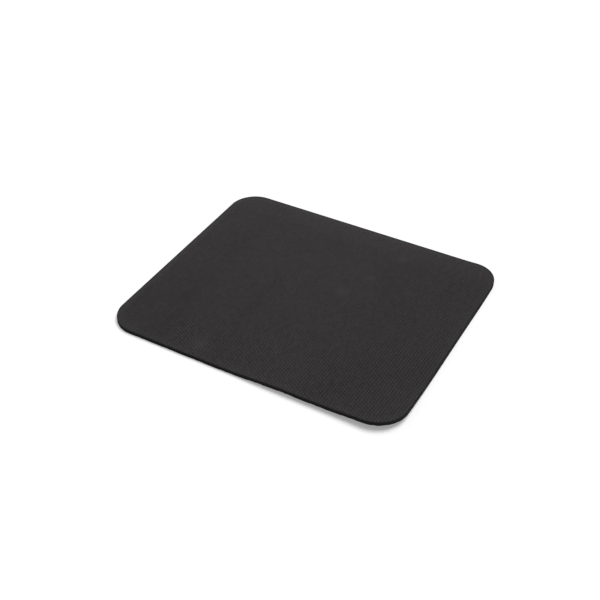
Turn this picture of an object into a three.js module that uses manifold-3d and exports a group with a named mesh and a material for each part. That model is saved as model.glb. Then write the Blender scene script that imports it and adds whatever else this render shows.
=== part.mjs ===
// A cloth-topped mouse pad. Four plies are bonded into one sheet, the underside is embossed with an
// anti-slip tread, and the pad is die cut from the sheet in one stroke, so every ply ends at the same
// edge. One corner has taken a set and stands a little off the desk.
//
// Lengths are in millimetres. X runs along the long side, Y along the short side and Z up from the desk,
// and the origin is on the desk, under the middle of the pad.

import * as THREE from 'three';
import { mergeVertices } from 'three/addons/utils/BufferGeometryUtils.js';
import Module from 'manifold-3d';

// The outline that the die cuts
const padLength = 235;
const padWidth = 197;
const cornerRadius = 22;
const stepsPerCorner = 8;

// The plies, from the desk up
const gripBaseThickness = 0.55;
const spongeThickness = 2.1;
const adhesiveThickness = 0.1;
const clothThickness = 0.45;

// The tread: zigzag grooves along the underside, between the lands that the pad stands on
const grooveSpacing = 5;
const grooveWidth = 1.5;
const grooveDepth = 0.25;
const zigzagLength = 24;
const zigzagSweep = 4;

// The corner at +X, -Y that has curled up: how high its tip stands, how far along the diagonal the
// bend reaches, and the number of flat strips that follow its curve
const curlLift = 4.4;
const curlReach = 120;
const curlStrips = 6;

// How far a cutter runs past the face that it cuts through
const overrun = 1;

// Points that lie closer together than this are one point
const weldGap = 0.0005;

const wasm = await Module();
wasm.setup();

// Turns a closed geometry into a solid that can be cut
function toSolid(geometry) {
  const bare = geometry.clone();
  bare.deleteAttribute('normal');
  bare.deleteAttribute('uv');
  const merged = mergeVertices(bare, weldGap);
  return new wasm.Manifold(new wasm.Mesh({
    numProp: 3,
    vertProperties: new Float32Array(merged.attributes.position.array),
    triVerts: new Uint32Array(merged.index.array),
  }));
}

// Lists the triangles of a solid, each as three points
function trianglesOf(solid) {
  const mesh = solid.getMesh();
  const corner = (index) => new THREE.Vector3().fromArray(mesh.vertProperties, index * mesh.numProp);
  const triangles = [];
  for (let first = 0; first < mesh.triVerts.length; first += 3) {
    triangles.push([0, 1, 2].map((step) => corner(mesh.triVerts[first + step])));
  }
  return triangles;
}

// Turns a list of triangles into a geometry whose shared points are merged
function toGeometry(triangles) {
  const geometry = new THREE.BufferGeometry().setFromPoints(triangles.flat());
  const merged = mergeVertices(geometry, weldGap);
  merged.computeVertexNormals();
  return merged;
}

// Places along the diagonal that ends at the curled corner, up to the middle of the corner's arc,
// which is the point of the pad that stands highest
const diagonal = new THREE.Vector3(1, -1, 0).normalize();
const arcCentre = new THREE.Vector3(padLength / 2 - cornerRadius, cornerRadius - padWidth / 2, 0);
const tipPlace = arcCentre.dot(diagonal) + cornerRadius;
const curlStart = tipPlace - curlReach;
const stripWidth = curlReach / curlStrips;
const bendLines = Array.from({ length: curlStrips }, (_, strip) => curlStart + strip * stripWidth);

// How far the pad has risen at a place: a parabola, followed by flat strips
function curlHeight(place) {
  const strips = Math.max(0, place - curlStart) / stripWidth;
  const whole = Math.floor(strips);
  const part = strips - whole;
  const rise = (count) => curlLift * (count / curlStrips) ** 2;
  return rise(whole) * (1 - part) + rise(whole + 1) * part;
}

// Bends a flat shape up with the corner. It is parted at the bend lines and each strip is raised, and
// then the strips are closed into one skin again, without the faces that parted them.
function curled(geometry) {
  const skin = [];
  let rest = toSolid(geometry);
  for (const bendLine of bendLines) {
    const [beyond, strip] = rest.splitByPlane(diagonal.toArray(), bendLine);
    skin.push(...trianglesOf(strip));
    rest = beyond;
  }
  skin.push(...trianglesOf(rest));
  const isParting = (triangle) => bendLines.some((bendLine) => {
    return triangle.every((point) => Math.abs(point.dot(diagonal) - bendLine) < weldGap);
  });
  const outside = skin.filter((triangle) => !isParting(triangle));
  for (const point of outside.flat()) {
    point.z += curlHeight(point.dot(diagonal));
  }
  return toGeometry(outside);
}

// The die: a rectangle with round corners
function dieOutline() {
  const x = padLength / 2 - cornerRadius;
  const y = padWidth / 2 - cornerRadius;
  const quarter = Math.PI / 2;
  const outline = new THREE.Shape();
  outline.absarc(x, y, cornerRadius, 0, quarter);
  outline.absarc(-x, y, cornerRadius, quarter, 2 * quarter);
  outline.absarc(-x, -y, cornerRadius, 2 * quarter, 3 * quarter);
  outline.absarc(x, -y, cornerRadius, 3 * quarter, 4 * quarter);
  outline.closePath();
  return outline;
}

// One ply of the die-cut pad, with its underside at the given height above the desk
function plyAt(bottom, thickness) {
  const settings = { depth: thickness, bevelEnabled: false, curveSegments: stepsPerCorner };
  const flat = new THREE.ExtrudeGeometry(dieOutline(), settings);
  flat.translate(0, 0, bottom);
  return curled(flat);
}

// One zigzag rib of the embossing roll, which presses a groove along the whole pad
function grooveCutter(centreY) {
  const halfTurns = Math.ceil(padLength / zigzagLength) + 1;
  const near = [];
  const far = [];
  for (let turn = -halfTurns; turn <= halfTurns; turn += 1) {
    const x = turn * zigzagLength / 2;
    const y = centreY + (turn % 2 === 0 ? 1 : -1) * zigzagSweep / 2;
    near.push(new THREE.Vector2(x, y - grooveWidth / 2));
    far.unshift(new THREE.Vector2(x, y + grooveWidth / 2));
  }
  const outline = new THREE.Shape([...near, ...far]);
  const flat = new THREE.ExtrudeGeometry(outline, { depth: overrun + grooveDepth, bevelEnabled: false });
  flat.translate(0, 0, -overrun);
  return curled(flat);
}

// The grip base, whose grooves lie evenly on both sides of a land along the middle
function treadedBase() {
  let base = toSolid(plyAt(0, gripBaseThickness));
  const groovesEachSide = Math.ceil((padWidth + zigzagSweep) / 2 / grooveSpacing);
  for (let groove = -groovesEachSide; groove < groovesEachSide; groove += 1) {
    base = base.subtract(toSolid(grooveCutter((groove + 1 / 2) * grooveSpacing)));
  }
  return toGeometry(trianglesOf(base));
}

// The finishes, all black: rubber with a dull skin, open sponge, a glassy film and a matt cloth
const gripRubber = new THREE.MeshStandardMaterial({ color: 0x191919, roughness: 0.7, metalness: 0 });
const spongeRubber = new THREE.MeshStandardMaterial({ color: 0x111111, roughness: 0.95, metalness: 0 });
const hotMelt = new THREE.MeshStandardMaterial({ color: 0x1c1b1a, roughness: 0.4, metalness: 0 });
const blackCloth = new THREE.MeshStandardMaterial({ color: 0x373536, roughness: 0.9, metalness: 0 });

// The stack, bonded face to face
const spongeBottom = gripBaseThickness;
const adhesiveBottom = spongeBottom + spongeThickness;
const clothBottom = adhesiveBottom + adhesiveThickness;

const mousePad = new THREE.Group();

function addPly(name, geometry, material) {
  const ply = new THREE.Mesh(geometry, material);
  ply.name = name;
  mousePad.add(ply);
}

addPly('grip_base', treadedBase(), gripRubber);
addPly('sponge_core', plyAt(spongeBottom, spongeThickness), spongeRubber);
addPly('adhesive_film', plyAt(adhesiveBottom, adhesiveThickness), hotMelt);
addPly('top_cloth', plyAt(clothBottom, clothThickness), blackCloth);

export default mousePad;
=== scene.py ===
import math

import bmesh
import bpy
import numpy as np
from mathutils import Matrix, Vector, noise
from mathutils.geometry import delaunay_2d_cdt


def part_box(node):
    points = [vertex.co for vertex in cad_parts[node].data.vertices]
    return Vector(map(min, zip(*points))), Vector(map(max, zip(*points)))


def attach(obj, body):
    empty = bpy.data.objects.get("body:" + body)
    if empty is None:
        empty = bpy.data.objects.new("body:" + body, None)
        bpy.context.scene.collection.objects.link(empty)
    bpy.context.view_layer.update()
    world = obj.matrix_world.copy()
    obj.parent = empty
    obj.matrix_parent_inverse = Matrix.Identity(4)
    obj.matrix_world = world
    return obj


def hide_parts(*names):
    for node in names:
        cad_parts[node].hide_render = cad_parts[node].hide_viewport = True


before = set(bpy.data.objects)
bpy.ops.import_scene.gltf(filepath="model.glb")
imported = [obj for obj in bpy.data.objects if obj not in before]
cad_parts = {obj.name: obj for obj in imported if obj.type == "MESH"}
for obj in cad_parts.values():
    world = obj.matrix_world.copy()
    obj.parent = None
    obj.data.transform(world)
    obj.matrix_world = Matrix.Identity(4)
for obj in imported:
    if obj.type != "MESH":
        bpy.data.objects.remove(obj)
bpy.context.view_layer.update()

# The grip base
# A thin skin of solid black rubber under the whole pad. A roll embosses zigzag grooves into it while it
# is still soft, the sponge is cured onto its back, and the die cuts through skin and grooves alike.

mm = 0.001

half_length, half_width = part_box("grip_base")[1][:2]
corner_radius = 22 * mm

# The corner at +X, -Y has curled: a low wave crosses the pad, and then the tip rises. Both are measured
# back from the tip along the diagonal, and the wave tilts and turns a little across it.
diagonal = math.sqrt(0.5)
curl_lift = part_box("grip_base")[1][2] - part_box("sponge_core")[0][2]
rim_allowance = 0.1 * mm
tip_lift = curl_lift + rim_allowance
tip_reach = 38 * mm
tip_bend = 1.6
tip_place = (half_length + half_width - 2 * corner_radius) * diagonal + corner_radius
wave_lift = 1.8 * mm
wave_tilt = 0.007
wave_crest = 52 * mm
wave_foot = 95 * mm
wave_turn = 0.11

# The corner at +X, +Y stands up a little as well, and rises more along X than along Y
far_tip_lift = 1.2 * mm
far_tip_reach = 20 * mm
far_tip_bend = 2
far_tip_lean = math.radians(30)
far_tip_way = (math.cos(far_tip_lean), math.sin(far_tip_lean))
far_tip_place = corner_radius + sum(
    (half_size - corner_radius) * share
    for half_size, share in zip((half_length, half_width), far_tip_way)
)


def curl_height(x, y):
    """How far the pad stands off the desk: a low wave, the curled tip and the far tip."""
    from_tip = tip_place - (x - y) * diagonal
    aside = (x + y) * diagonal
    up_wave = np.clip((wave_foot - from_tip + wave_turn * aside) / (wave_foot - wave_crest), 0, 1)
    wave = (wave_lift - wave_tilt * aside) * up_wave**2 * (3 - 2 * up_wave)
    up_tip = np.maximum(0, 1 - from_tip / tip_reach) ** tip_bend
    from_far_tip = far_tip_place - x * far_tip_way[0] - y * far_tip_way[1]
    up_far_tip = np.maximum(0, 1 - from_far_tip / far_tip_reach) ** far_tip_bend
    return wave + (tip_lift - wave) * up_tip + far_tip_lift * up_far_tip


def half_width_at(x):
    """Half the pad's width at a place along its length, less at the round corners."""
    into_corner = np.maximum(0, np.abs(x) - (half_length - corner_radius))
    return half_width - corner_radius + np.sqrt(np.maximum(0, corner_radius**2 - into_corner**2))


def edge_distance(x, y):
    """How far a point of the pad lies inside the die-cut edge."""
    across = np.abs(x) - (half_length - corner_radius)
    along = np.abs(y) - (half_width - corner_radius)
    into_corner = np.hypot(np.maximum(across, 0), np.maximum(along, 0))
    return corner_radius - into_corner - np.minimum(np.maximum(across, along), 0)


def places_along(step, arc_steps):
    """Places from end to end of the pad: even ones, and closer ones where the corners turn."""
    count = math.floor(half_length / step)
    even = [step * index for index in range(-count, count + 1)]
    turns = [math.sin(math.pi / 2 * (index + 1) / arc_steps) for index in range(arc_steps)]
    arcs = [side * (half_length - corner_radius * (1 - turn)) for side in (-1, 1) for turn in turns]
    ends = [-half_length, half_length]
    least_gap = step / 20
    inner = [x for x in arcs if min(abs(x - other) for other in even + ends) > least_gap]
    return np.array(sorted(even + ends + inner))


def rim_of(columns, rows):
    """The numbers of a grid's border points in order, where points are numbered column by column."""
    front = [column * rows for column in range(columns)]
    right = [(columns - 1) * rows + row for row in range(1, rows)]
    back = [column * rows + rows - 1 for column in range(columns - 2, -1, -1)]
    left = list(range(rows - 2, 0, -1))
    return front + right + back + left


def grid_faces(columns, rows):
    """Four-sided faces between the points of such a grid."""
    return [
        (corner, corner + rows, corner + rows + 1, corner + 1)
        for column in range(columns - 1)
        for corner in range(column * rows, column * rows + rows - 1)
    ]


def wall_faces(lower, upper):
    """Faces between two closed rings of as many points."""
    after = list(range(1, len(lower))) + [0]
    return [(lower[a], lower[b], upper[b], upper[a]) for a, b in enumerate(after)]


# Each piece has a map that lays its faces flat on a square picture, on which the export paints its
# finish. What can be seen fills most of the picture, with the cut face folded out round it, and the
# hidden face that is bonded to the next ply lies small in the strip above. The export knows the map by
# its name.
map_name = "OFBake"
fold_out = 0.6 * mm
picture_margin = 0.8 * mm
picture_span = 2 * (half_length + fold_out + picture_margin)
seen_spot = (0.5, (half_width + fold_out + picture_margin) / picture_span)
hidden_span = 7 * picture_span
hidden_height = 0.925


def laid_flat(points, faces, spot, side, span):
    """Where faces lie on the piece's picture, seen from above if the side is 1 and from below if -1."""
    return [
        (spot[0] + side * points[number][0] / span, spot[1] + points[number][1] / span)
        for face in faces
        for number in face
    ]


def folded_out(points, far_edge):
    """The points with the cut face's far edge folded outward, so that the cut lies flat as well."""
    flat = [tuple(point[:2]) for point in points]
    for number in far_edge:
        x, y = flat[number]
        out_x = math.copysign(max(0, abs(x) - half_length + corner_radius), x)
        out_y = math.copysign(max(0, abs(y) - half_width + corner_radius), y)
        reach = fold_out / math.hypot(out_x, out_y)
        flat[number] = (x + out_x * reach, y + out_y * reach)
    return flat


net_size = 8 * mm
inside_only = 1
net_accuracy = 1e-9


def hidden_skin(points, faces, places, rim, level, side, spot_x=0.5):
    """Closes a rim where the ply is bonded to the next one, with a loose net of triangles."""
    xs = np.arange(-half_length, half_length, net_size)
    ys = np.arange(-half_width, half_width, net_size)
    inner = [(x, y) for x in xs for y in ys if edge_distance(x, y) > net_size / 2]
    numbers = rim + list(range(len(points), len(points) + len(inner)))
    flat = [Vector(points[number][:2]) for number in rim] + [Vector(place) for place in inner]
    points.extend((x, y, level + curl_height(x, y)) for x, y in inner)
    edge = [(index, (index + 1) % len(rim)) for index in range(len(rim))]
    _, _, triangles, origins, _, _ = delaunay_2d_cdt(flat, edge, [], inside_only, net_accuracy)
    source = [numbers[found[0]] for found in origins]
    closing = [tuple(source[corner] for corner in triangle) for triangle in triangles]
    faces.extend(closing)
    places.extend(laid_flat(points, closing, (spot_x, hidden_height), side, hidden_span))


same_point = 1e-7
no_length = 1e-8


def make_piece(name, points, faces, places):
    """Turns points and faces into a closed, smooth piece, with the map of its faces."""
    mesh = bpy.data.meshes.new(name)
    mesh.from_pydata([tuple(map(float, point)) for point in points], [], faces)
    mesh.uv_layers.new(name=map_name).uv.foreach_set("vector", np.array(places, np.float32).ravel())
    work = bmesh.new()
    work.from_mesh(mesh)
    bmesh.ops.remove_doubles(work, verts=work.verts, dist=same_point)
    bmesh.ops.dissolve_degenerate(work, edges=work.edges, dist=no_length)
    bmesh.ops.recalc_face_normals(work, faces=work.faces)
    for face in work.faces:
        face.smooth = True
    work.to_mesh(mesh)
    work.free()
    piece = bpy.data.objects.new(name, mesh)
    bpy.context.scene.collection.objects.link(piece)
    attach(piece, "root")
    return piece


def feed(node, sockets):
    """Gives a node's sockets their values: a link to what is worked out, and anything else as it is."""
    for name, value in sockets.items():
        if isinstance(value, Socket):
            node.id_data.links.new(value.link, node.inputs[name])
        else:
            node.inputs[name].default_value = value


class Socket:
    """A value that a finish works out over the surface. Sums and products of it become Math nodes."""

    def __init__(self, link):
        self.link = link

    def node(self, kind, settings=None, sockets=None, take=0):
        """Adds a node: its settings first, then the values or links of its sockets."""
        added = self.link.id_data.nodes.new(kind)
        for setting, value in (settings or {}).items():
            setattr(added, setting, value)
        feed(added, sockets or {})
        return Socket(added.outputs[take])

    def math(self, operation, *others):
        """Adds a Math node that works on this value and the others."""
        values = dict(enumerate((self, *others)))
        return self.node("ShaderNodeMath", {"operation": operation}, values)

    def __add__(self, other):
        return self.math("ADD", other)

    def __radd__(self, other):
        return self.math("ADD", other)

    def __sub__(self, other):
        return self.math("SUBTRACT", other)

    def __rsub__(self, other):
        return (self * -1).math("ADD", other)

    def __mul__(self, other):
        return self.math("MULTIPLY", other)

    def __rmul__(self, other):
        return self.math("MULTIPLY", other)

    def __truediv__(self, other):
        return self.math("DIVIDE", other)

    def __abs__(self):
        return self.math("ABSOLUTE")

    def ease(self, low, high):
        """Rises smoothly from 0 where the value is low to 1 where it is high."""
        return self.node(
            "ShaderNodeMapRange",
            {"interpolation_type": "SMOOTHSTEP"},
            {"Value": self, "From Min": low, "From Max": high},
        )

    def between(self, first, second):
        """The colour that lies this far from the first colour to the second."""
        factor_socket, first_socket, second_socket, colour_output = 0, 6, 7, 2
        sockets = {factor_socket: self}
        for socket, colour in ((first_socket, first), (second_socket, second)):
            sockets[socket] = (*colour, 1) if isinstance(colour, tuple) else colour
        return self.node("ShaderNodeMix", {"data_type": "RGBA"}, sockets, colour_output)


def start_finish(name):
    """A new material, its shader, and the place on the piece in metres."""
    material = bpy.data.materials.new(name)
    material.use_nodes = True
    nodes = material.node_tree.nodes
    place = Socket(nodes.new("ShaderNodeTexCoord").outputs["Object"])
    return material, nodes["Principled BSDF"], place


def speckle(place, size, detail=2.0, roughness=0.5):
    """Soft noise from 0 to 1 whose blots are about the given size."""
    sockets = {"Vector": place, "Scale": 1 / size, "Detail": detail, "Roughness": roughness}
    return place.node("ShaderNodeTexNoise", {}, sockets)


def add_relief(shader, height, depth):
    """Gives a finish a bump: heights of about 0 to 1 over the given depth in metres."""
    bump = height.node("ShaderNodeBump", {}, {"Height": height, "Distance": depth})
    feed(shader, {"Normal": bump})


# The tread: zigzag grooves between the lands that the pad stands on, each land with rounded shoulders
groove_spacing = 5 * mm
groove_width = 1.5 * mm
groove_depth = 0.25 * mm
zigzag_length = 24 * mm
zigzag_sweep = 4 * mm
land_rounding = 0.12 * mm
tread_step = 1.5 * mm
tread_arc_steps = 24


def zigzag(x):
    """How far the grooves are swept aside at a place along the pad."""
    return zigzag_sweep / 2 * (2 * np.abs(x / (zigzag_length / 2) % 2 - 1) - 1)


def tread_height(x, y):
    """The underside's height: nothing on the lands, and a rounded step up into each groove."""
    from_groove = np.abs((y - zigzag(x)) / groove_spacing % 1 - 1 / 2) * groove_spacing
    step = (groove_width / 2 + land_rounding - from_groove) / (2 * land_rounding)
    step = np.clip(step, 0, 1)
    return groove_depth * step * step * (3 - 2 * step)


# Rows of points run along the middle of each land and down and up both walls of each groove
profile = [-groove_spacing / 2]
for side in (-1, 1):
    for share in (-1, -1 / 3, 1 / 3, 1):
        profile.append(side * (groove_width / 2 + share * land_rounding))
profile.sort()
groove_count = math.ceil((half_width + zigzag_sweep) / groove_spacing)
rows = np.array([
    (groove + 1 / 2) * groove_spacing + offset
    for groove in range(-groove_count, groove_count)
    for offset in profile
])
columns = places_along(tread_step, tread_arc_steps)
x = np.repeat(columns, len(rows))
y = np.tile(rows, len(columns)) + zigzag(x)
y = np.clip(y, -half_width_at(x), half_width_at(x))
points = list(zip(x, y, tread_height(x, y) + curl_height(x, y)))
faces = grid_faces(len(columns), len(rows))

# Rows that would pass the die-cut edge end on it, so of the points that share a spot only one is kept
edge = []
spots = set()
for number in rim_of(len(columns), len(rows)):
    spot = (round(points[number][0] / mm, 4), round(points[number][1] / mm, 4))
    if spot not in spots:
        spots.add(spot)
        edge.append(number)
base_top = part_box("sponge_core")[0][2]
upper = list(range(len(points), len(points) + len(edge)))
points += [(points[n][0], points[n][1], base_top + curl_height(*points[n][:2])) for n in edge]
faces += wall_faces(edge, upper)
places = laid_flat(folded_out(points, upper), faces, seen_spot, -1, picture_span)
hidden_skin(points, faces, places, upper, base_top, 1)
grip_base = make_piece("treaded_grip_base", points, faces, places)

# A dull moulded skin: fine grain, and wide patches where the rubber has bloomed grey
grain_size = 0.35 * mm
grain_depth = 0.04 * mm
bloom_size = 22 * mm
clean_rubber = (0.006, 0.006, 0.0062)
bloomed_rubber = (0.016, 0.0158, 0.0155)
material, shader, place = start_finish("grip_rubber")
grain = speckle(place, grain_size, detail=4.0, roughness=0.6)
bloom = speckle(place, bloom_size, detail=3.0)
rubber = (grain * 0.4 + bloom * 0.6).between(clean_rubber, bloomed_rubber)
dullness = 0.5 + grain * 0.25 + bloom * 0.12
feed(shader, {"Base Color": rubber, "Roughness": dullness, "Specular IOR Level": 0.1})
add_relief(shader, grain, grain_depth)
grip_base.data.materials.append(material)
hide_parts("grip_base")

# The sponge core
# Black closed-cell rubber sponge, blown in a wide sheet and split to thickness. It gives the pad its
# cushion. The knife pulls its cut edge in a little and opens a row of small cells all along it.

sponge_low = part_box("sponge_core")[0][2]
sponge_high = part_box("sponge_core")[1][2] - curl_lift
sponge_step = 0.32 * mm
sponge_levels = 9
draw_in = 0.12 * mm
cell_size = 0.55 * mm
cell_depth = 0.11 * mm
cell_reach = 0.42
cell_roundness = 0.7
cell_group = 3 * cell_size


def edge_walk(step):
    """Points round the die-cut edge, each with its outward direction."""
    walk = []
    straight_x, straight_y = half_length - corner_radius, half_width - corner_radius
    for quarter, (side_x, side_y) in enumerate(((1, -1), (1, 1), (-1, 1), (-1, -1))):
        start = quarter * math.pi / 2 - math.pi / 2
        turns = math.ceil(corner_radius * math.pi / 2 / step)
        for turn in range(turns + 1):
            angle = start + math.pi / 2 * turn / turns
            out_x, out_y = math.cos(angle), math.sin(angle)
            x = side_x * straight_x + corner_radius * out_x
            y = side_y * straight_y + corner_radius * out_y
            walk.append((x, y, out_x, out_y))
        run = 2 * (straight_y if quarter % 2 == 0 else straight_x)
        count = math.ceil(run / step)
        for index in range(1, count):
            gone = run * index / count
            walk.append((x - out_y * gone, y + out_x * gone, out_x, out_y))
    return walk


# On the picture of a ply that shows only its cut edge, the edge lies in lengths, one above the other,
# and its two hidden faces lie small above them, side by side.
edge_lengths = 16
end_margin = 0.01
row_margin = 0.1
lower_skin_x = 0.3
upper_skin_x = 0.7


def rolled_out(count, levels):
    """Where a cut edge lies on the piece's picture: as equal lengths, one above the other."""
    per_length = math.ceil(count / edge_lengths)
    row_height = 2 * seen_spot[1] / edge_lengths
    places = []
    for level in range(levels - 1):
        for step in range(count):
            row, along = divmod(step, per_length)
            left, right = (
                end_margin + (1 - 2 * end_margin) * (along + end) / per_length
                for end in (0, 1)
            )
            low, high = (
                (row + row_margin + (1 - 2 * row_margin) * (level + end) / (levels - 1)) * row_height
                for end in (0, 1)
            )
            places += [(left, low), (right, low), (right, high), (left, high)]
    return places


def make_inner_ply(name, points, rings, low, high):
    """Makes a ply that shows only its cut edge, from the points of its rings, and closes both sides."""
    faces = [face for lower, upper in zip(rings, rings[1:]) for face in wall_faces(lower, upper)]
    places = rolled_out(len(rings[0]), len(rings))
    hidden_skin(points, faces, places, rings[0], low, -1, lower_skin_x)
    hidden_skin(points, faces, places, rings[-1], high, 1, upper_skin_x)
    return make_piece(name, points, faces, places)


def cell_pit(x, y, z):
    """How deep a cut cell bites into the sponge's edge, from 0 to 1."""
    distances, _ = noise.voronoi(Vector((x, y, z)) / cell_size)
    size = 0.5 + 0.5 * noise.noise(Vector((x, y, z)) / cell_group)
    return max(0.0, 1 - distances[0] / cell_reach) ** cell_roundness * size


walk = edge_walk(sponge_step)
points, rings = [], []
for level in range(sponge_levels):
    share = level / (sponge_levels - 1)
    z = sponge_low + share * (sponge_high - sponge_low)
    bonded = level in (0, sponge_levels - 1)
    rings.append(list(range(len(points), len(points) + len(walk))))
    for x, y, out_x, out_y in walk:
        inset = draw_in * 4 * share * (1 - share)
        if not bonded:
            inset += cell_depth * cell_pit(x, y, z)
        flat_x, flat_y = x - inset * out_x, y - inset * out_y
        points.append((flat_x, flat_y, z + curl_height(flat_x, flat_y)))
sponge_core = make_inner_ply("knife_cut_sponge", points, rings, sponge_low, sponge_high)

# Torn cell walls: deep black painted shade in the hollow of each open cell, and a little paler on the
# froth between them
open_cell_size = 0.38 * mm
froth_size = 0.12 * mm
torn_depth = 0.1 * mm
shaded_cell_sponge = (0.004, 0.004, 0.0041)
torn_sponge = (0.022, 0.0217, 0.0214)
material, shader, place = start_finish("cut_sponge")
cells = place.node("ShaderNodeTexVoronoi", {}, {"Vector": place, "Scale": 1 / open_cell_size})
froth = speckle(place, froth_size, detail=3.0, roughness=0.6)
openness = cells.ease(0.1, 0.55) * 0.7 + froth * 0.3
sponge = openness.between(shaded_cell_sponge, torn_sponge)
feed(shader, {"Base Color": sponge, "Roughness": 0.95, "Specular IOR Level": 0.02})
add_relief(shader, openness, torn_depth)
sponge_core.data.materials.append(material)
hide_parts("sponge_core")

# The adhesive film
# A black hot-melt film, ironed between the cloth and the sponge while the sheet goes through hot
# rollers. Only its cut edge can be seen, a hairline bead that is a little shinier than its neighbours.

film_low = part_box("adhesive_film")[0][2]
film_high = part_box("adhesive_film")[1][2] - curl_lift
film_step = 1.5 * mm
film_levels = 5
bead_swell = 0.03 * mm

walk = edge_walk(film_step)
points, rings = [], []
for level in range(film_levels):
    share = level / (film_levels - 1)
    z = film_low + share * (film_high - film_low)
    swell = bead_swell * (4 * share * (1 - share) - 1)
    rings.append(list(range(len(points), len(points) + len(walk))))
    for x, y, out_x, out_y in walk:
        flat_x, flat_y = x + swell * out_x, y + swell * out_y
        points.append((flat_x, flat_y, z + curl_height(flat_x, flat_y)))
adhesive_film = make_inner_ply("hot_melt_film", points, rings, film_low, film_high)

# A smooth melt with faint smears
smear_size = 1.2 * mm
smear_depth = 0.02 * mm
dark_melt = (0.006, 0.006, 0.006)
pale_melt = (0.014, 0.0138, 0.0135)
material, shader, place = start_finish("hot_melt")
smear = speckle(place, smear_size, detail=3.0)
melt = smear.between(dark_melt, pale_melt)
feed(shader, {"Base Color": melt, "Roughness": 0.35 + smear * 0.25, "Specular IOR Level": 0.2})
add_relief(shader, smear, smear_depth)
adhesive_film.data.materials.append(material)
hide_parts("adhesive_film")

# The top cloth
# Black polyester, knitted with fine ribs that run along the pad's short side, not quite true to the
# die. The knife presses its rim down as it cuts, so the edge is rolled over, with a painted highlight
# on it.

cloth_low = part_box("top_cloth")[0][2]
cloth_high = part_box("top_cloth")[1][2] - curl_lift
rib_pitch = 2.15 * mm
rib_height = 0.1 * mm
rib_skew = -0.034
pressed_width = 1.6 * mm
pressed_depth = 0.12 * mm
rim_rounding = 0.08 * mm


def cloth_top(x, y):
    """The height of the cloth's face, with its ribs and its pressed rim."""
    rib = np.cos(2 * math.pi * (x + rib_skew * y) / rib_pitch)
    inside = edge_distance(x, y)
    pressed = np.clip(1 - inside / pressed_width, 0, 1) ** 2
    rounded = np.clip(1 - inside / rim_rounding, 0, 1)
    drop = pressed_depth * pressed + rim_rounding * (1 - np.sqrt(1 - rounded**2))
    return cloth_high - rib_height * (1 - rib) / 2 * (1 - pressed) - drop + curl_height(x, y)


# Columns of points follow the ribs, and rows lie close together where the rim is rolled over
columns_per_rib = 6
cloth_arc_steps = 40
rim_rows = [offset * mm for offset in (0, 0.05, 0.12, 0.22, 0.36, 0.6, 0.9, 1.3, 1.8, 2.6, 3.8)]
middle_step = 3.5 * mm
columns = places_along(rib_pitch / columns_per_rib, cloth_arc_steps)
middle_count = math.ceil((half_width - rim_rows[-1]) / middle_step)
middle_rows = np.linspace(rim_rows[-1], half_width, middle_count)
from_edge = np.array(rim_rows[:-1] + list(middle_rows))
rows = np.concatenate([from_edge - half_width, (half_width - from_edge)[-2::-1]]) / half_width
x = np.repeat(columns, len(rows))
y = np.tile(rows, len(columns)) * half_width_at(x)
points = list(zip(x, y, cloth_top(x, y)))
faces = grid_faces(len(columns), len(rows))
rim = rim_of(len(columns), len(rows))
lower = list(range(len(points), len(points) + len(rim)))
points += [(points[n][0], points[n][1], cloth_low + curl_height(*points[n][:2])) for n in rim]
faces += wall_faces(lower, rim)
places = laid_flat(folded_out(points, lower), faces, seen_spot, 1, picture_span)
hidden_skin(points, faces, places, lower, cloth_low, -1)
top_cloth = make_piece("ribbed_top_cloth", points, faces, places)

valley_narrowness = 3.0


def valley(turns):
    """Is 0 on every ridge and 1 in the narrow valleys between them, for a count of ridges crossed."""
    return (0.5 - (turns * (2 * math.pi)).math("COSINE") * 0.5).math("POWER", valley_narrowness)


# The ribs wander a little, and beads lie across them, half a bead further on from rib to rib
rib_wander = 0.2 * mm
rib_wander_size = 9 * mm
bead_pitch = 2.5 * mm
bead_shift = 0.5
bead_wander = 0.9
bead_wander_size = 3 * mm
material, shader, place = start_finish("black_cloth")
across, along = (place.node("ShaderNodeSeparateXYZ", {}, {0: place}, axis) for axis in (0, 1))
rib_drift = (speckle(place, rib_wander_size) - 0.5) * rib_wander
rib_turns = (across + along * rib_skew + rib_drift) / rib_pitch
bead_drift = (speckle(place, bead_wander_size, detail=1.0) - 0.5) * bead_wander
bead_turns = rib_turns * bead_shift + along / bead_pitch + bead_drift
rib_valley = valley(rib_turns)
bead_valley = valley(bead_turns)

# Knitted stitches: wales along the ribs, each a column of loops with two slanting legs
wales_per_rib = 4
course_pitch = 0.42 * mm
leg_slant = 1.2
from_wale = abs((rib_turns * wales_per_rib).math("FRACT") - 0.5)
loop_turns = along / course_pitch + from_wale * leg_slant
loop = (loop_turns * (2 * math.pi)).math("COSINE") * 0.5 + 0.5
legs = 0.75 + 0.25 * from_wale.ease(0.0, 0.12)
stitch = (1 - from_wale.ease(0.33, 0.5)) * (0.3 + 0.7 * loop.ease(0.08, 0.65)) * legs

# The yarn: single fibres, slubs that are longer along the ribs, and wide blotches of uneven dye
fibre_size = 0.14 * mm
slub_size = 2.4 * mm
slub_squeeze = (1.0, 0.45, 1.0)
blotch_size = 34 * mm
fibre = speckle(place, fibre_size, detail=3.0, roughness=0.65)
yarn_ways = place.node("ShaderNodeMapping", {}, {"Vector": place, "Scale": slub_squeeze})
slubs = speckle(yarn_ways, slub_size, detail=4.0, roughness=0.45) - 0.5
blotch = speckle(place, blotch_size, detail=3.0)
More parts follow.
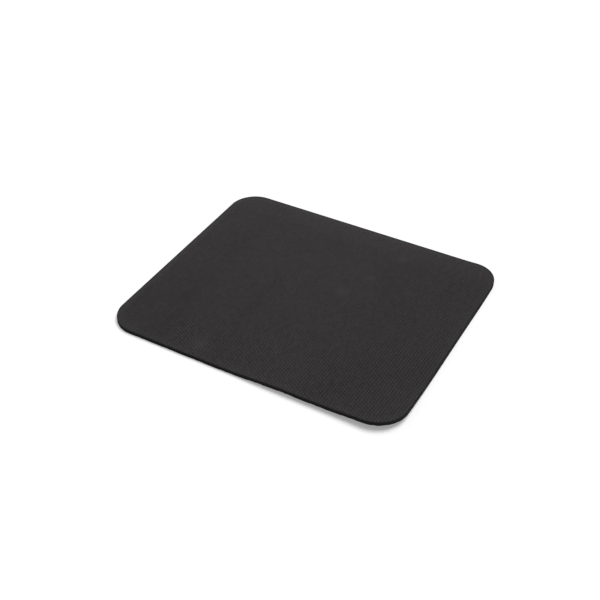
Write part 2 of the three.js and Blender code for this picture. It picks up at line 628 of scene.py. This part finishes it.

# The ribs and the pile are fresh at the curled corner and along the front, and worn flat elsewhere.
# Their tone is painted shade in the valleys between the ribs and the beads, and the pile's own random
# tone.
patch_size = 16 * mm
speck_size = 2.2 * mm
pile_size = 0.9 * mm
toward_tip = (across - along) * diagonal
front_strip = along.ease(-48 * mm, -76 * mm) * across.ease(-95 * mm, -55 * mm)
fresh = toward_tip.ease(tip_place - 184 * mm, tip_place - 44 * mm).math("MAXIMUM", front_strip)
wide_patches = 0.6 + 0.8 * speckle(place, patch_size)
small_patches = 0.3 + 1.4 * speckle(place, speck_size, detail=1.0)
crispness = (0.02 + fresh.math("POWER", 1.5)) * (wide_patches * small_patches) * 0.38
pile = (speckle(place, pile_size, detail=1.0) - 0.5) * fresh.math("POWER", 0.6)
# Painted shade in the rib and bead valleys, plus the pile's tone
valley_shade_and_pile = (0.55 - rib_valley - bead_valley * 0.77) * crispness + pile * 1.1

# Painted light: the cloth is a little darker toward the front and paler toward the far side, as the
# lamp behind falls on it, and paler where the curled corner lifts. It is also a little darker over the
# right part, along two soft streaks and at the front left.
left_streak = 1 - abs(across + 80 * mm).ease(0.0, 16 * mm)
middle_streak = (1 - abs(across + 32 * mm).ease(0.0, 13 * mm)) * along.ease(35 * mm, 0.0)
front_left = across.ease(-48 * mm, -78 * mm) * along.ease(10 * mm, -70 * mm)
lift_highlight = toward_tip.ease(tip_place - 42 * mm, tip_place - 12 * mm)
painted_falloff_and_streaks = 0.05 * along.ease(half_width, -half_width) + 0.075 * across.ease(18 * mm, 62 * mm)
painted_falloff_and_streaks = painted_falloff_and_streaks + 0.055 * left_streak + 0.045 * middle_streak + 0.045 * front_left - 0.05 * lift_highlight

# How far a place lies inside the cut edge, a painted highlight on the band of the pressed rim, stronger
# on the far side, and a wider painted highlight near the far edge
into_x = (abs(across) - (half_length - corner_radius)).math("MAXIMUM", 0.0)
into_y = (abs(along) - (half_width - corner_radius)).math("MAXIMUM", 0.0)
inside = corner_radius - (into_x * into_x + into_y * into_y).math("SQRT")
far_side = toward_tip.ease(45 * mm, -45 * mm)
rim_highlight = inside.ease(0.5 * mm, 1.4 * mm) * (1 - inside.ease(2.4 * mm, 7.0 * mm))
far_edge_highlight = inside.ease(2.0 * mm, 4.0 * mm) * along.ease(half_width - 30 * mm, half_width - 8 * mm)

# Soft marks of dust: how far across and along each one lies, and how far it reaches, in millimetres
dust_marks = ((43, 75, 6.5), (32, 42, 5.0), (-41, -86, 10.0), (20, 16, 9.0))
dust_raggedness = 4 * mm
dust = 0.0
for mark_x, mark_y, reach in dust_marks:
    off_x, off_y = across - mark_x * mm, along - mark_y * mm
    off_mark = (off_x * off_x + off_y * off_y).math("SQRT") + slubs * dust_raggedness
    dust = dust + (1 - off_mark.ease(0.0, reach * mm))

# The threads, from their deepest shade to their palest, a little warmer under the painted highlight on
# the rim
deep_thread = (0.0112, 0.0102, 0.0107)
pale_thread = (0.0465, 0.0424, 0.0444)
deep_warm_rim_thread = (0.0111, 0.0105, 0.0104)
pale_warm_rim_thread = (0.0461, 0.0434, 0.0434)
cloth_level = -0.01 + stitch * 0.62 + fibre * 0.12 + slubs * 0.42 + blotch * 0.14 + dust * 0.22
# The tone takes in the painted valley shade, the painted light over the cloth, and the painted
# highlights of the rim and the far edge
shade = cloth_level + valley_shade_and_pile - painted_falloff_and_streaks + rim_highlight * (0.08 + 0.11 * far_side) + far_edge_highlight * 0.12
threads = shade.between(deep_thread, pale_thread)
warm_rim_threads = shade.between(deep_warm_rim_thread, pale_warm_rim_thread)
rim_highlight_tinted = rim_highlight.between(threads, warm_rim_threads)

# A few specks of pale lint, caught here and there
lint_spacing = 19 * mm
lint_colour = (0.13, 0.125, 0.12)
lint_sockets = {"Vector": place, "Scale": 1 / lint_spacing}
lint_net = place.node("ShaderNodeTexVoronoi", {}, lint_sockets)
lint_pick = place.node("ShaderNodeTexVoronoi", {}, lint_sockets, 1)
lint = (1 - (lint_net + slubs * 0.02).ease(0.012, 0.03)) * lint_pick.ease(0.55, 0.6)
linty = (lint * 0.5).between(rim_highlight_tinted, lint_colour)

# A dark line at the cut: near black at the very edge all round, and a wider darkening just inside it,
# faint along the front and stronger on the other sides
edge_line_colour = (0.002, 0.002, 0.002)
off_front = along.ease(2 * mm - half_width, 20 * mm - half_width)
edge_line = (0.12 + 0.58 * off_front) * (1 - inside.ease(0.3 * mm, 0.85 * mm))
cut = (0.85 * (1 - inside.ease(0.02 * mm, 0.14 * mm))).math("MAXIMUM", edge_line)
edge_lined = cut.between(linty, edge_line_colour)

# Matt threads with a trace of sheen, and the knit as a fine relief
sheen_tint = (0.9, 0.88, 0.87, 1.0)
knit_depth = 0.09 * mm
knit_height = stitch * 0.6 + fibre * 0.25 - rib_valley * 0.15 - bead_valley * 0.3
feed(shader, {"Base Color": edge_lined, "Roughness": 0.82 + fibre * 0.12, "Specular IOR Level": 0.12})
feed(shader, {"Sheen Weight": 0.03, "Sheen Roughness": 0.5, "Sheen Tint": sheen_tint})
add_relief(shader, knit_height, knit_depth)
top_cloth.data.materials.append(material)
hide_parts("top_cloth")

# The studio
# A seamless white sweep under an even white sky, with one soft lamp high behind the pad, so that the
# only shadow is a narrow grey one under the front edge and the curled corner.

white = (1.0, 1.0, 1.0, 1.0)
sweep_half = 3.0
sweep_gap = 0.02 * mm
sweep_corners = [
    (side_x * sweep_half, side_y * sweep_half, -sweep_gap)
    for side_x, side_y in ((-1, -1), (1, -1), (1, 1), (-1, 1))
]
sweep_mesh = bpy.data.meshes.new("white_sweep")
sweep_mesh.from_pydata(sweep_corners, [], [(0, 1, 2, 3)])
sweep = bpy.data.objects.new("white_sweep", sweep_mesh)
bpy.context.scene.collection.objects.link(sweep)


def seen_directly(tree):
    """Is 1 for what the camera sees, also mirrored or through glass, and 0 for light that falls."""
    rays = tree.nodes.new("ShaderNodeLightPath")
    camera_ray, glossy_ray, through_ray = (
        Socket(rays.outputs[name])
        for name in ("Is Camera Ray", "Is Glossy Ray", "Is Transmission Ray")
    )
    return camera_ray.math("MAXIMUM", glossy_ray).math("MAXIMUM", through_ray)


# White paper, which glows a little to whoever looks at it, so that it stays white all round the pad
backdrop_share = 0.27
material, shader, place = start_finish("white_paper")
feed(shader, {"Base Color": white, "Roughness": 1.0, "Specular IOR Level": 0.0})
paper = Socket(shader.outputs[0])
glow = place.node("ShaderNodeEmission", {}, {"Color": white, "Strength": 1.0})
glow_share = seen_directly(material.node_tree) * backdrop_share
both = place.node("ShaderNodeMixShader", {}, {0: glow_share, 1: paper, 2: glow})
feed(material.node_tree.nodes["Material Output"], {"Surface": both})
sweep_mesh.materials.append(material)

# The sky is white to whoever looks at it, and gives an even, plain light
sky_level = 0.3
sky = bpy.data.worlds.new("white_sky")
bpy.context.scene.world = sky
sky.use_nodes = True
level = seen_directly(sky.node_tree) * (1 - sky_level) + sky_level
feed(sky.node_tree.nodes["Background"], {"Color": white, "Strength": level})

# The lamp stands behind the pad, a little to the right. Its level is what falls on the flat cloth.
lamp_level = 0.745
lamp_height = math.radians(66)
lamp_turn = math.radians(36)
lamp_softness = math.radians(39)
lamp_data = bpy.data.lights.new("back_lamp", "SUN")
lamp_data.energy = lamp_level * math.pi / math.sin(lamp_height)
lamp_data.angle = lamp_softness
lamp = bpy.data.objects.new("back_lamp", lamp_data)
bpy.context.scene.collection.objects.link(lamp)
toward_lamp = Vector((
    math.sin(lamp_turn) * math.cos(lamp_height),
    math.cos(lamp_turn) * math.cos(lamp_height),
    math.sin(lamp_height),
))
lamp.rotation_euler = toward_lamp.to_track_quat("Z", "Y").to_euler()

# The camera looks down on the pad from in front of its curled corner, rolled by about half a degree
picture_width = 600
focal_length_in_pixels = 979.4
sensor_width = 36
camera_turn = math.radians(29.77)
camera_height = math.radians(39.65)
camera_roll = math.radians(-0.52)
camera_distance = 743 * mm
looked_at = Vector((-5.3 * mm, -4.7 * mm, 0))
camera_data = bpy.data.cameras.new("photo_camera")
camera_data.sensor_width = sensor_width
camera_data.lens = sensor_width * focal_length_in_pixels / picture_width
camera = bpy.data.objects.new("photo_camera", camera_data)
bpy.context.scene.collection.objects.link(camera)
back = Vector((
    math.sin(camera_turn) * math.cos(camera_height),
    -math.cos(camera_turn) * math.cos(camera_height),
    math.sin(camera_height),
))
level_right = Vector((0, 0, 1)).cross(back).normalized()
level_up = back.cross(level_right)
right = level_right * math.cos(camera_roll) + level_up * math.sin(camera_roll)
upward = level_up * math.cos(camera_roll) - level_right * math.sin(camera_roll)
turned = Matrix((right, upward, back)).transposed().to_4x4()
camera.matrix_world = Matrix.Translation(looked_at + back * camera_distance) @ turned
bpy.context.scene.camera = camera

bpy.context.scene.view_settings.view_transform = "Standard"
